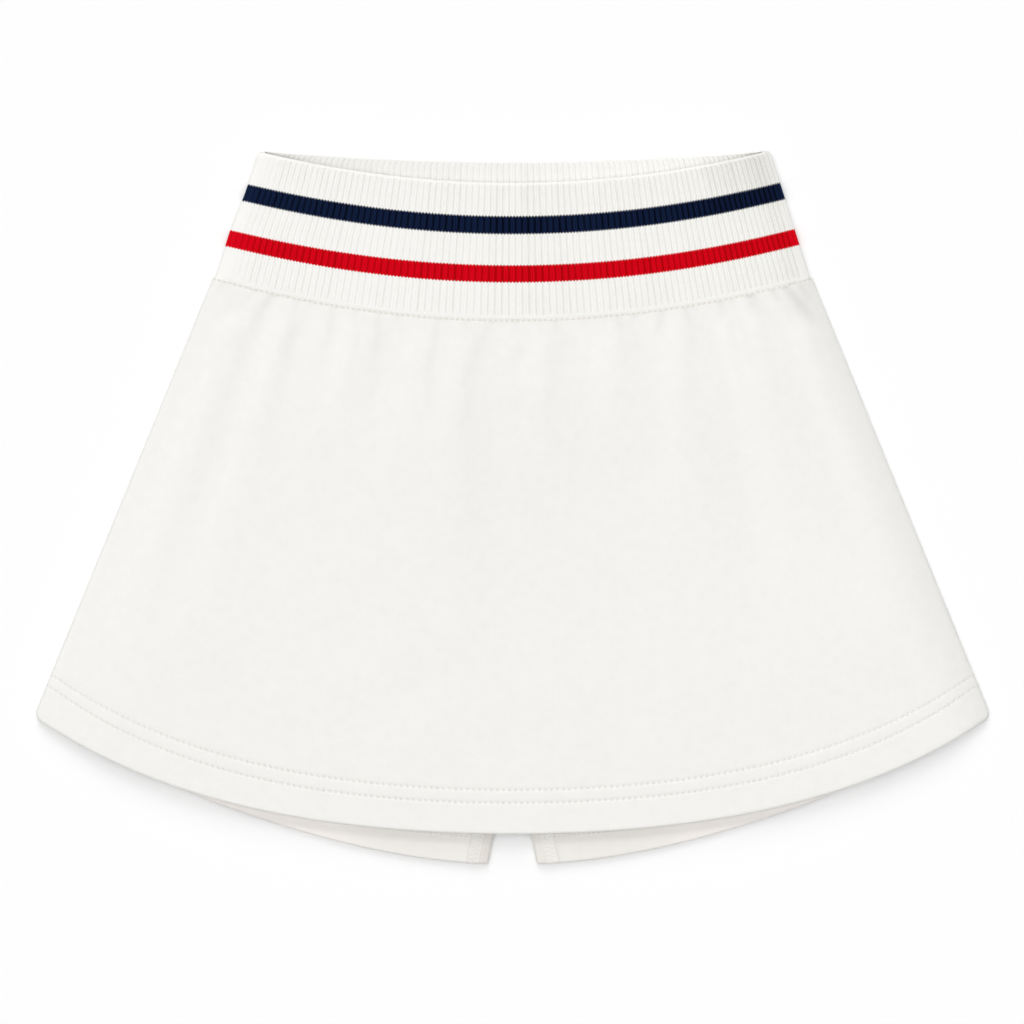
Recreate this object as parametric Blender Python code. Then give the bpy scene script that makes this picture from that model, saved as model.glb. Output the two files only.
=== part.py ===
"""A tennis skirt with built-in shorts, laid flat with its front up.

Five sewn pieces: a knitted-rib waistband, a front and a back skirt panel, and two shorts legs.
X runs across the garment, +Y towards the waist and +Z up. The origin is on the surface that the
garment lies on, under the middle of its outline. Sizes are in millimetres; MM makes them metres.

Each panel is a wall between two skins of points. A point has a place across the panel, from -1 at
one side edge to 1 at the other, and a place down it, from 0 at its top edge to 1 at its hem.
"""

from collections import namedtuple
import math

import bmesh
import bpy
import numpy as np

MM = 0.001

# Clear space left between two pieces, or between two layers of one piece.
GAP = 0.3

# Cloth thicknesses.
SKIRT_CLOTH = 1.4
SHORTS_CLOTH = 1.1
BAND_CLOTH = 2.8
SKIRT_HEM_EXTRA = 0.5
LEG_HEM_EXTRA = 0.3

# One row of a panel. half_width and side_y place its ends, centre_y its middle, and late is the
# share of the rise from middle to ends that comes with the fourth power and not the square.
Level = namedtuple("Level", "down half_width side_y centre_y late")

BAND_FRONT_LEVELS = (
    Level(down=0.0, half_width=151.0, side_y=209.0, centre_y=190.2, late=0.0),
    Level(down=1.0, half_width=174.4, side_y=134.6, centre_y=110.3, late=0.0),
)
BAND_BACK_LEVELS = (
    Level(down=0.0, half_width=151.0, side_y=209.0, centre_y=202.2, late=0.0),
    Level(down=1.0, half_width=174.4, side_y=134.6, centre_y=110.3, late=0.0),
)
HEM_TURN = 0.905
SKIRT_FRONT_LEVELS = (
    Level(down=0.0, half_width=175.6, side_y=134.2, centre_y=110.0, late=0.0),
    Level(down=HEM_TURN, half_width=270.4, side_y=-98.0, centre_y=-165.5, late=0.38),
    Level(down=1.0, half_width=281.5, side_y=-125.0, centre_y=-190.7, late=0.31),
)
SKIRT_BACK_LEVELS = (
    Level(down=0.0, half_width=175.6, side_y=134.2, centre_y=110.0, late=0.0),
    Level(down=HEM_TURN, half_width=270.4, side_y=-98.0, centre_y=-162.0, late=0.38),
    Level(down=1.0, half_width=281.5, side_y=-125.0, centre_y=-187.0, late=0.31),
)

# Knitted-in stripes of the waistband, as places down it.
STRIPES = {"navy": (0.240, 0.370), "red": (0.599, 0.723)}

# Ribs of the waistband's outer face.
RIB_COUNT = 90
RIB_RELIEF = 0.6
RIB_CROWDING = 0.06
RIB_FADE_AT_SIDES = 9.0
PLAIN_STRIP = 2.6
PLAIN_STRIP_STEP = 0.7

# The waistband's folded edges. A folded edge keeps EDGE_LEAST of the wall's height.
BAND_SIDE_ROLL = 10.0
BAND_UNDER_ROLL = 5.0
BAND_EDGE_ROUND = 2.2
BAND_CORNER = 3.5
EDGE_LEAST = 0.35
MOUTH_FLARE = 0.45
MOUTH_DEPTH = 1.0
BAND_LENGTH = BAND_FRONT_LEVELS[0].centre_y - BAND_FRONT_LEVELS[-1].centre_y
BAND_MIDDLE = BAND_CLOTH + GAP / 2

# Round lower corners of the skirt panels, and the rows that they need.
HEM_CORNER = 5.5
CORNER_ROWS = (0.979, 0.987, 0.994, 0.998, 1.0)

# How high the front lies over the layers under it.
BAND_TOP = 2 * BAND_CLOTH + GAP
SEAM_TOP = 2 * SKIRT_CLOTH + 2 * SHORTS_CLOTH + 3 * GAP
HEM_LIFT = 2 * SKIRT_HEM_EXTRA + 2 * LEG_HEM_EXTRA
HEM_STEP = (HEM_TURN - 0.012, HEM_TURN)
HEM_CLIMB = (HEM_TURN - 0.09, HEM_TURN - 0.03)
FRONT_CLIMB = (0.76, 0.885)
SIDE_ROLL_AT_SEAM = 6.0
SIDE_ROLL_AT_HEM = 84.0

# How far the gathered front stands off, and how it settles at its edges. SWELL_IN and RELIEF_IN
# are distances in from a side edge, and MOST_LOWERED is a share of the height.
SWELL = 1.0
HEM_SETTLING = 0.55
SWELL_IN = (4.0, 40.0)
RELIEF_IN = (4.0, 22.0)
SEAM_PRESS = 0.25
SEAM_PRESS_DOWN = 0.012
HEM_ROUND = 0.6
HEM_ROUND_DOWN = 0.005
MOST_LOWERED = 0.4
BACK_SIDE_ROUND = 2.0
BACK_SIDE_LIFT = 0.5

# Gathers and long folds of the front: troughs between soft ridges. across is where the trough
# runs, width its half width and depth its depth, all in millimetres but across, and length how
# far down the panel it reaches before it has faded out. TROUGH_SPREAD is how much wider a trough
# would be at the hem.
Trough = namedtuple("Trough", "across width depth length")
TROUGH_SPREAD = 1.6
TROUGHS = (
    Trough(-0.935, 4.0, 0.40, 0.12),
    Trough(-0.845, 8.0, 0.75, 0.95),
    Trough(-0.707, 6.0, 0.65, 0.22),
    Trough(-0.595, 4.6, 0.60, 0.13),
    Trough(-0.513, 3.8, 0.50, 0.10),
    Trough(-0.433, 6.0, 0.85, 0.30),
    Trough(-0.377, 3.6, 0.45, 0.09),
    Trough(-0.258, 5.5, 0.70, 0.27),
    Trough(-0.120, 8.5, 0.90, 0.85),
    Trough(-0.075, 3.6, 0.45, 0.09),
    Trough(0.010, 5.0, 0.60, 0.13),
    Trough(0.145, 8.5, 0.90, 0.42),
    Trough(0.240, 3.8, 0.50, 0.11),
    Trough(0.360, 7.0, 0.85, 0.42),
    Trough(0.470, 4.2, 0.55, 0.12),
    Trough(0.580, 8.0, 0.90, 0.80),
    Trough(0.695, 5.0, 0.65, 0.20),
    Trough(0.795, 7.5, 0.75, 0.85),
    Trough(0.880, 4.0, 0.55, 0.14),
    Trough(0.935, 4.5, 0.45, 0.40),
)

# One row of a shorts leg: its inner edge, its outer fold, and the power of the curve between.
LegLevel = namedtuple("LegLevel", "down inner_x inner_y outer_x outer_y power")
CROTCH = 0.77
LEG_LEVELS = (
    LegLevel(down=0.0, inner_x=0.15, inner_y=109.9, outer_x=170.2, outer_y=131.6, power=2.0),
    LegLevel(down=CROTCH, inner_x=0.15, inner_y=-137.0, outer_x=200.0, outer_y=-108.0, power=1.8),
    LegLevel(down=1.0, inner_x=14.5, inner_y=-209.0, outer_x=207.5, outer_y=-159.5, power=1.68),
)
LEG_HEM_TURN = 17.0
LEG_HEM_STEP = (-1.5, 0.5)
LEG_DROP = (4.5, 10.0)
LEG_FOLD_ROUND = 2.4
LEG_FOLD_LEAST = 0.25
LEG_SPLIT = 0.03
INSEAM_STRIP = (5.7, 12.9)
INSEAM_RELIEF = 0.35
INSEAM_STEP = 0.5
ON_FOLD = 1e-9

# Edges that turn by more than this are shaded sharp, so the ribs stay crisp.
SHARP_FROM = math.radians(18.0)

WHITE = (0.90, 0.895, 0.875, 1.0)
SHORTS_WHITE = (0.86, 0.845, 0.82, 1.0)
NAVY = (0.006, 0.011, 0.045, 1.0)
RED = (0.62, 0.003, 0.012, 1.0)


def smooth(value, start, end):
    """0 up to start, 1 from end, and an even S between."""
    part = min(max((value - start) / (end - start), 0.0), 1.0)
    return part * part * (3.0 - 2.0 * part)


def rounded(distance, reach):
    """Height share of a quarter-round edge, from 0 at the edge to 1 at reach from it."""
    part = min(max(distance / reach, 0.0), 1.0)
    return math.sqrt(1.0 - (1.0 - part) ** 2)


def between(levels, down):
    """The row of a table at this place down, in a straight line between its two neighbours."""
    for above, below in zip(levels, levels[1:]):
        if down <= below.down or below is levels[-1]:
            part = (down - above.down) / (below.down - above.down)
            return type(above)(*(a + (b - a) * part for a, b in zip(above, below)))


def row_y(level, x):
    """Where a panel's row runs at this x."""
    share = (x / level.half_width) ** 2
    rise = (1.0 - level.late) * share + level.late * share * share
    return level.centre_y + (level.side_y - level.centre_y) * rise


def down_at(levels, x, y):
    """How far down a panel this point of the plan lies, more than 1 past its hem."""
    low, high = 0.0, 1.2
    for _ in range(30):
        middle = (low + high) / 2
        if row_y(between(levels, middle), x) > y:
            low = middle
        else:
            high = middle
    return (low + high) / 2


def back_top(down):
    """Upper face of the back panel."""
    return SKIRT_CLOTH + SKIRT_HEM_EXTRA * smooth(down, *HEM_STEP)


def over_back(down):
    """Lowest height of what lies on the back panel. It climbs onto the turned-up hem early."""
    return SKIRT_CLOTH + SKIRT_HEM_EXTRA * smooth(down, *HEM_CLIMB) + GAP


def relief(across, down, half_width):
    """How deep the gathers and folds are here."""
    total = 0.0
    for trough in TROUGHS:
        widened = trough.width * (1.0 + TROUGH_SPREAD * down)
        off = (across - trough.across) * half_width / widened
        life = smooth(down, 0.0, 0.03) * (1.0 - smooth(down, 0.25 * trough.length, trough.length))
        total += trough.depth * life * math.exp(-off * off)
    return min(total, SWELL)


def front_plateau(down):
    """Upper face of the front panel over the shorts, with no gathers."""
    return SEAM_TOP + HEM_LIFT * smooth(down, *FRONT_CLIMB)


def front_swell(down):
    """How far the gathered cloth stands off the layers under it."""
    return SWELL * smooth(down, 0.0, 0.04) * (1.0 - HEM_SETTLING * smooth(down, 0.7, 0.93))


def front_height(inset, down, thickness):
    """Height of the front panel's skin at this inset from its side edge. The outer skin has no
    thickness; the inner skin lies one cloth thickness inside it."""
    rim = over_back(down)
    roll = SIDE_ROLL_AT_SEAM + (SIDE_ROLL_AT_HEM - SIDE_ROLL_AT_SEAM) * down
    share = rounded(inset - thickness, roll - thickness)
    plateau = front_plateau(down) + front_swell(down) * smooth(inset, *SWELL_IN) - thickness
    return rim + (plateau - rim) * share


def columns(steps, crowd):
    """Places across a panel: even steps in the middle, and crowded ones near each side."""
    middle = list(np.linspace(-1.0 + crowd[-1], 1.0 - crowd[-1], steps + 1))
    left = [-1.0 + inset for inset in crowd[:-1]]
    right = [1.0 - inset for inset in reversed(crowd[:-1])]
    return left + middle + right


def corner_cut(levels, down):
    """How much a row is narrowed to round the panel's free corners."""
    length = levels[0].side_y - levels[-1].side_y
    if levels in (BAND_FRONT_LEVELS, BAND_BACK_LEVELS):
        return BAND_CORNER * (1.0 - rounded(down * length, BAND_CORNER))
    return HEM_CORNER * (1.0 - rounded((1.0 - down) * length, HEM_CORNER))


def skin(levels, downs, acrosses, height, narrower=0.0):
    """Rows of points of one face of a panel. height(inset, across, down) gives z."""
    rows = []
    for down in downs:
        level = between(levels, down)
        reach = level.half_width - corner_cut(levels, down)
        row = []
        for across in acrosses:
            x = across * (reach - narrower)
            inset = reach - abs(x)
            row.append((x, row_y(level, x), height(inset, across, down)))
        rows.append(row)
    return rows


class Wall:
    """Builds one closed piece from skins of points and the strips that join their edges."""

    def __init__(self):
        self.mesh = bmesh.new()

    def points(self, rows):
        return [[self.mesh.verts.new([c * MM for c in point]) for point in row] for row in rows]

    def face(self, corners, slot=0):
        made = self.mesh.faces.new(corners)
        made.material_index = slot

    def cover(self, rows, slots=None):
        """Faces over a skin. slots gives a row's material, if not the first."""
        for index, (upper, lower) in enumerate(zip(rows, rows[1:])):
            slot = slots[index] if slots else 0
            for place in range(len(upper) - 1):
                self.face((upper[place], lower[place], lower[place + 1], upper[place + 1]), slot)

    def join(self, first, second):
        """Triangles between two edges that run the same way with any number of points each. Each
        step takes the shorter of the two new diagonals."""
        i = j = 0
        while i < len(first) - 1 or j < len(second) - 1:
            if j == len(second) - 1:
                along_first = True
            elif i == len(first) - 1:
                along_first = False
            else:
                ahead = (first[i + 1].co - second[j].co).length
                along_first = ahead <= (first[i].co - second[j + 1].co).length
            if along_first:
                self.face((first[i], first[i + 1], second[j]))
                i += 1
            else:
                self.face((first[i], second[j + 1], second[j]))
                j += 1

    def finish(self, name, materials):
        """The piece as an object, with its faces pointing out and its round places smooth."""
        bmesh.ops.recalc_face_normals(self.mesh, faces=self.mesh.faces)
        if self.mesh.calc_volume(signed=True) < 0:
            bmesh.ops.reverse_faces(self.mesh, faces=self.mesh.faces)
        data = bpy.data.meshes.new(name)
        self.mesh.to_mesh(data)
        self.mesh.free()
        for material in materials:
            data.materials.append(material)
        data.shade_smooth()
        data.set_sharp_from_angle(angle=SHARP_FROM)
        made = bpy.data.objects.new(name, data)
        bpy.context.scene.collection.objects.link(made)
        return made


def edges_joined(wall, outer, inner):
    """Closes a panel's four edges between its outer and inner skin."""
    wall.join(outer[0], inner[0])
    wall.join(outer[-1], inner[-1])
    wall.join([row[0] for row in outer], [row[0] for row in inner])
    wall.join([row[-1] for row in outer], [row[-1] for row in inner])


def rib_places():
    """Ridges and valleys of the ribs across the front of the waistband. They crowd a little
    towards its sides."""
    across = np.linspace(-1.0, 1.0, 4001)
    count = RIB_COUNT / 2 * (across + RIB_CROWDING * across**3) / (1.0 + RIB_CROWDING)
    steps = np.arange(-RIB_COUNT + 3, RIB_COUNT - 2) / 2
    return list(np.interp(steps, count, across))


def band_front_height(inset, across, down, ribs):
    """Outer face of the waistband's front, with its ribs."""
    height = BAND_MIDDLE + (BAND_TOP / 2) * rounded(inset, BAND_SIDE_ROLL)
    if across in ribs:
        ridge = 0.5 if ribs.index(across) % 2 else -0.5
        left = (1.0 - down) * BAND_LENGTH
        fade = smooth(inset, 1.0, RIB_FADE_AT_SIDES)
        fade *= smooth(left, PLAIN_STRIP, PLAIN_STRIP + PLAIN_STRIP_STEP)
        height += ridge * RIB_RELIEF * fade
    return height


def build_waistband(materials):
    """A rib-knit tube, flattened. Its ribs are raised on the front and it is plain inside."""
    stripe_rows = sorted(edge for stripe in STRIPES.values() for edge in stripe)
    downs = [place / BAND_LENGTH for place in (0.0, 0.4, 1.1, BAND_EDGE_ROUND, BAND_CORNER)]
    downs += stripe_rows
    downs += [1.0 - (PLAIN_STRIP + PLAIN_STRIP_STEP) / BAND_LENGTH, 1.0 - PLAIN_STRIP / BAND_LENGTH, 1.0]
    ribs = rib_places()
    sides = [0.0, 0.002, 0.008, 0.017]
    front_across = [-1.0 + inset for inset in sides] + ribs + [1.0 - inset for inset in sides[::-1]]
    back_across = columns(24, [0.0, 0.002, 0.008, 0.03])[::-1]

    def edge_share(down):
        return EDGE_LEAST + (1.0 - EDGE_LEAST) * rounded(down * BAND_LENGTH, BAND_EDGE_ROUND)

    def front(inset, across, down):
        full = band_front_height(inset, across, down, ribs)
        return BAND_MIDDLE + (full - BAND_MIDDLE) * edge_share(down)

    def back(inset, across, down):
        return BAND_MIDDLE * (1.0 - rounded(inset, BAND_UNDER_ROLL) * edge_share(down))

    outer = [
        first + second[1:-1]
        for first, second in zip(
            skin(BAND_FRONT_LEVELS, downs, front_across, front),
            skin(BAND_BACK_LEVELS, downs, back_across, back),
        )
    ]
    inner_downs = [0.0, MOUTH_DEPTH / BAND_LENGTH, BAND_CORNER / BAND_LENGTH, 0.5, 1.0]
    inner_across = columns(20, [0.0, 0.02])

    def inner_front(inset, across, down):
        return BAND_CLOTH + GAP + MOUTH_FLARE * (1.0 - rounded(down * BAND_LENGTH, MOUTH_DEPTH))

    def inner_back(inset, across, down):
        return BAND_CLOTH - MOUTH_FLARE * (1.0 - rounded(down * BAND_LENGTH, MOUTH_DEPTH))

    inner = [
        first + second
        for first, second in zip(
            skin(BAND_FRONT_LEVELS, inner_downs, inner_across, inner_front, BAND_CLOTH),
            skin(BAND_BACK_LEVELS, inner_downs, inner_across[::-1], inner_back, BAND_CLOTH),
        )
    ]
    slots = []
    for above, below in zip(downs, downs[1:]):
        middle = (above + below) / 2
        inside = [low < middle < high for low, high in STRIPES.values()]
        slots.append(inside.index(True) + 1 if True in inside else 0)
    wall = Wall()
    outer = [row + row[:1] for row in wall.points(outer)]
    inner = [row + row[:1] for row in wall.points(inner)]
    wall.cover(outer, slots)
    wall.cover(inner)
    wall.join(outer[0], inner[0])
    wall.join(outer[-1], inner[-1])
    return wall.finish("waistband", materials)


def build_skirt_front(material):
    """Front panel: gathered at the seam, with long soft folds and a turned-up hem."""
    downs = [0.0, 0.012, 0.03, 0.055, 0.09, 0.13, 0.18, 0.25, 0.34, 0.45, 0.57, 0.69]
    downs += [0.80, 0.86, HEM_TURN, 0.95, *CORNER_ROWS]
    crowd = [0.0, 0.002, 0.008, 0.02, 0.045]
    acrosses = columns(96, crowd)

    def outer_height(inset, across, down):
        half_width = between(SKIRT_FRONT_LEVELS, down).half_width
        height = front_height(inset, down, 0.0)
        edge = HEM_ROUND * (1.0 - rounded(1.0 - down, HEM_ROUND_DOWN))
        pressed = SEAM_PRESS * (1.0 - smooth(down, 0.0, SEAM_PRESS_DOWN))
        lowered = relief(across, down, half_width) * front_swell(down) / SWELL
        lowered = (lowered + pressed) * smooth(inset, *RELIEF_IN)
        return height - min(lowered + edge, MOST_LOWERED * (height - over_back(down)))

    def inner_height(inset, across, down):
        extra = SKIRT_HEM_EXTRA * smooth(down, *HEM_STEP)
        rim = over_back(down)
        flat = front_height(inset, down, SKIRT_CLOTH)
        flat -= front_swell(down) * smooth(inset, *SWELL_IN)
        return max(flat - extra * smooth(flat, rim, rim + 2.0), rim)

    wall = Wall()
    outer = wall.points(skin(SKIRT_FRONT_LEVELS, downs, acrosses, outer_height))
    inner_downs = [0.0, 0.1, 0.25, 0.45, 0.65, 0.78, 0.84, *HEM_STEP]
    inner_downs += CORNER_ROWS
    inner_across = columns(24, [0.0, 0.004, 0.012, 0.035, 0.08])
    inner = skin(SKIRT_FRONT_LEVELS, inner_downs, inner_across, inner_height, SKIRT_CLOTH)
    inner = wall.points(inner)
    wall.cover(outer)
    wall.cover(inner)
    edges_joined(wall, outer, inner)
    return wall.finish("skirt_front", [material])


def build_skirt_back(material):
    """Back panel: it lies flat on the surface, with its turned-up hem on its upper side."""
    crowd = [0.0, 0.003, 0.009]
    under_downs = [0.0, 0.1, 0.25, 0.45, 0.65, 0.80, HEM_TURN, *CORNER_ROWS]

    def under(inset, across, down):
        return BACK_SIDE_LIFT * (1.0 - rounded(inset, BACK_SIDE_ROUND))

    def upper(inset, across, down):
        return back_top(down)

    wall = Wall()
    lower = wall.points(skin(SKIRT_BACK_LEVELS, under_downs, columns(24, crowd), under))
    upper_downs = [0.0, 0.25, 0.5, 0.75, *HEM_STEP, *CORNER_ROWS]
    higher = wall.points(skin(SKIRT_BACK_LEVELS, upper_downs, columns(24, [0.0, 0.02]), upper))
    wall.cover(lower)
    wall.cover(higher)
    edges_joined(wall, lower, higher)
    return wall.finish("skirt_back", [material])


def leg_point(level, along):
    """A point of a leg's row, from its inner edge at 0 to its outer fold at 1."""
    x = level.inner_x + (level.outer_x - level.inner_x) * along
    y = level.inner_y + (level.outer_y - level.inner_y) * along**level.power
    return x, y


def leg_floor(x, y):
    """Underside of a leg: over the back panel, and down to the surface past that panel's hem."""
    down = down_at(SKIRT_BACK_LEVELS, x, y)
    hem_y = row_y(SKIRT_BACK_LEVELS[-1], x)
    return over_back(down) * (1.0 - smooth(hem_y - y, *LEG_DROP))


def leg_height(x, y, level, layer):
    """Height of one of a leg's four skins: back outer 0, back inner 1, front inner 2, outer 3."""
    hem_y = row_y_of_leg_hem(x)
    cloth = SHORTS_CLOTH + LEG_HEM_EXTRA * smooth(LEG_HEM_TURN - (y - hem_y), *LEG_HEM_STEP)
    steps = (0.0, cloth, cloth + GAP, 2 * cloth + GAP)
    floor = leg_floor(x, y)
    if layer in (1, 2):
        return floor + steps[layer]
    below_crotch = smooth(level.down, CROTCH, CROTCH + LEG_SPLIT)
    from_outer = rounded(level.outer_x - x, LEG_FOLD_ROUND)
    from_inner = 1.0 - below_crotch * (1.0 - rounded(x - level.inner_x, LEG_FOLD_ROUND))
    swell = LEG_FOLD_LEAST + (1.0 - LEG_FOLD_LEAST) * min(from_outer, from_inner)
    middle = cloth + GAP / 2
    height = floor + middle + (steps[layer] - middle) * swell
    if layer == 3:
        into = x - level.inner_x
        strip = smooth(into, INSEAM_STRIP[0] - INSEAM_STEP, INSEAM_STRIP[0])
        strip *= 1.0 - smooth(into, INSEAM_STRIP[1], INSEAM_STRIP[1] + INSEAM_STEP)
        height += INSEAM_RELIEF * strip * below_crotch
    return height


def row_y_of_leg_hem(x):
    """Where a leg's hem runs at this x."""
    hem = LEG_LEVELS[-1]
    along = min(max((x - hem.inner_x) / (hem.outer_x - hem.inner_x), 0.0), 1.0)
    return leg_point(hem, along)[1]


def build_leg(side, material):
    """One shorts leg: a flattened tube below the crotch, open at its centre seam above it.
    side is 1 for the leg at +X and -1 for the other. An inset from the inner edge is positive, and
    one from the outer fold is negative, with -ON_FOLD for the fold itself."""
    downs = [0.0, 0.2, 0.4, 0.6, CROTCH, 0.80, 0.84, 0.88, 0.90, 0.915, 0.93, 0.945, 0.96]
    downs += [0.975, 0.99, 1.0]
    strip = [INSEAM_STRIP[0] - INSEAM_STEP, *INSEAM_STRIP, INSEAM_STRIP[1] + INSEAM_STEP]
    near = [0.0, 0.5, LEG_FOLD_ROUND]
    wide = [30.0, 55.0, 80.0, 105.0, 130.0, 150.0]

    def skin_of(layer, insets):
        rows = []
        for down in downs:
            level = between(LEG_LEVELS, down)
            width = level.outer_x - level.inner_x
            cut = SHORTS_CLOTH if layer in (1, 2) else 0.0
            inner_cut = cut * smooth(down, CROTCH - 0.001, CROTCH + LEG_SPLIT)
            row = []
            for inset in insets:
                place = max(inset, inner_cut) if inset >= 0 else width - max(-inset - ON_FOLD, cut)
                x, y = leg_point(level, place / width)
                row.append((side * x, y, leg_height(x, y, level, layer)))
            rows.append(row)
        return rows

    fold = [-LEG_FOLD_ROUND, -0.5, -ON_FOLD]
    front = skin_of(3, near + strip + wide + fold)
    back = skin_of(0, near + wide + fold)
    outer = [first + second[-2::-1] for first, second in zip(front, back)]
    coarse = [0.0, 20.0, 60.0, 100.0, 140.0, -ON_FOLD]
    inner = [
        first + second[::-1]
        for first, second in zip(skin_of(2, coarse), skin_of(1, coarse))
    ]
    wall = Wall()
    outer = wall.points(outer)
    inner = wall.points(inner)
    wall.cover(outer)
    wall.cover(inner)
    crotch = downs.index(CROTCH)
    for end in (0, -1):
        wall.join([row[end] for row in outer[: crotch + 1]], [row[end] for row in inner[: crotch + 1]])
    for rows in (outer, inner):
        wall.join([row[0] for row in rows[crotch:]], [row[-1] for row in rows[crotch:]])
    wall.face((outer[crotch][0], outer[crotch][-1], inner[crotch][-1], inner[crotch][0]))
    wall.join(outer[0], inner[0])
    wall.join(outer[-1], inner[-1])
    wall.face((outer[-1][0], outer[-1][-1], inner[-1][-1], inner[-1][0]))
    name = "shorts_leg_right" if side < 0 else "shorts_leg_left"
    return wall.finish(name, [material])


def cloth_material(name, colour, roughness):
    """A plain matt cloth."""
    made = bpy.data.materials.new(name)
    made.use_nodes = True
    shader = made.node_tree.nodes["Principled BSDF"]
    shader.inputs["Base Color"].default_value = colour
    shader.inputs["Roughness"].default_value = roughness
    shader.inputs["Metallic"].default_value = 0.0
    return made


def clear_scene():
    for thing in list(bpy.data.objects):
        bpy.data.objects.remove(thing, do_unlink=True)


def main():
    clear_scene()
    rib_white = cloth_material("rib_knit_white", WHITE, 0.85)
    rib_navy = cloth_material("rib_knit_navy", NAVY, 0.85)
    rib_red = cloth_material("rib_knit_red", RED, 0.80)
    build_waistband([rib_white, rib_navy, rib_red])
    build_skirt_front(cloth_material("skirt_front_knit", WHITE, 0.80))
    build_skirt_back(cloth_material("skirt_back_knit", WHITE, 0.80))
    build_leg(1, cloth_material("shorts_left_knit", SHORTS_WHITE, 0.75))
    build_leg(-1, cloth_material("shorts_right_knit", SHORTS_WHITE, 0.75))


main()
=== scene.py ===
# Looks of a tennis skirt with built-in shorts, laid flat with its front up. Sizes in the tables are
# millimetres; MM makes them metres. A place across a panel runs from -1 to 1, and a place down it
# from 0 at its top edge to 1 at its hem.

from collections import namedtuple
import math

import bmesh
import bpy
import numpy as np
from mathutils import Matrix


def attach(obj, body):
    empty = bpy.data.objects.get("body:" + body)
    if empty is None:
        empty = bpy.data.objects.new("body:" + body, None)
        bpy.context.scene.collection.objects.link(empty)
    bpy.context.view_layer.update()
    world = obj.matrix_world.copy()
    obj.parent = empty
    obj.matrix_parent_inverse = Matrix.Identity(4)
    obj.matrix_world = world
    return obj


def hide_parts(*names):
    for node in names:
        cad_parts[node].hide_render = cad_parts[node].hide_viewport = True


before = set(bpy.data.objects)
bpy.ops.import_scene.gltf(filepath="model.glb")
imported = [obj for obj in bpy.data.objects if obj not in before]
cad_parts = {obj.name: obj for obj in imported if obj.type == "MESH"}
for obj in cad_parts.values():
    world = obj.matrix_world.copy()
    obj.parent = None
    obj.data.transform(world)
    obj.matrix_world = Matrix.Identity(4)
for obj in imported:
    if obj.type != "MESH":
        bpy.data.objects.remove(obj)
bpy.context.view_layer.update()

scene = bpy.context.scene
MM = 0.001
GAP = 0.3
SKIRT_CLOTH = 1.4
SHORTS_CLOTH = 1.1
BAND_CLOTH = 2.8
SKIRT_HEM_EXTRA = 0.5
LEG_HEM_EXTRA = 0.3

# A row of a panel, from straight above: how far down it is, half its width, where its two ends and
# its middle lie, and how late its curve rises towards the ends.
Level = namedtuple("Level", "down half_width side_y centre_y late")
BAND_FRONT = (Level(0, 151, 209, 190.2, 0), Level(1, 174.4, 134.16, 109.92, 0))
BAND_BACK = (Level(0, 151, 209, 202.2, 0), Level(1, 174.4, 134.16, 109.92, 0))
BAND_WALLS = (BAND_FRONT, BAND_BACK)
HEM_TURN = 0.905
FRONT_LEVELS = (
    Level(0, 175.6, 134.475, 109.9, 0),
    Level(HEM_TURN, 270.4, -98, -165.5, 0.38),
    Level(0.9333, 272.9, -104, -173, 0.43),
    Level(1, 280.6, -122.8, -191.25, 0.36),
)
BACK_LEVELS = (
    Level(0, 175.6, 134.475, 109.9, 0),
    Level(HEM_TURN, 270.4, -98, -162, 0.38),
    Level(1, 280.6, -122.8, -187, 0.36),
)
BAND_LENGTH = 79.9
# A skirt panel's length as its rows count it, down from the seam and up from the hem.
FROM_SEAM = 304.4
FROM_HEM = 265.3

# The navy and the red stripe. In shares of the band's length: where each starts and ends, and how far
# its left and right ends bend down. Then how jagged its edges are, its yarn's colour on the ribs, and
# a darker colour between them that is painted shade in the grooves.
STRIPES = (
    (0.248, 0.377, 0.01, 0.003, 1.22, (0.0062, 0.0142, 0.047, 1), (0.0003, 0.002, 0.0105, 1)),
    (0.6055, 0.7295, 0.016, 0.007, 1, (0.715, 0.001, 0.0112, 1), (0.43, 0.0002, 0.002, 1)),
)

RIBS_A_HALF = 42.5
RIB_CROWDING = 0.086
RIB_LEAN = 0.05
RIB_DEPTH = 0.5
PLAIN_STRIP = 1.7
BAND_SIDE_ROLL = 10
BAND_UNDER_ROLL = 5
BAND_CORNER = 3.5
BAND_LEFT_IN = 1.9
HEM_CORNER = 3.8
BAND_MIDDLE = BAND_CLOTH + GAP / 2
SEAM_TOP = 2 * SKIRT_CLOTH + 2 * SHORTS_CLOTH + 3 * GAP
HEM_LIFT = 2 * SKIRT_HEM_EXTRA + 2 * LEG_HEM_EXTRA
HEM_STEP = (HEM_TURN - 0.012, HEM_TURN)
HEM_CLIMB = (HEM_TURN - 0.09, HEM_TURN - 0.03)
SIDE_EDGE = 1.8
# How far in from its side the front is rounded, at its seam and its hem.
SIDE_ROLL = (6, 84)
RIGHT_ROLL = 27
FULLNESS = 2.6
FULLEST = 2.3
FOLD_DEPTH = 1.65
HEM_SETTLING = 0.55
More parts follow.
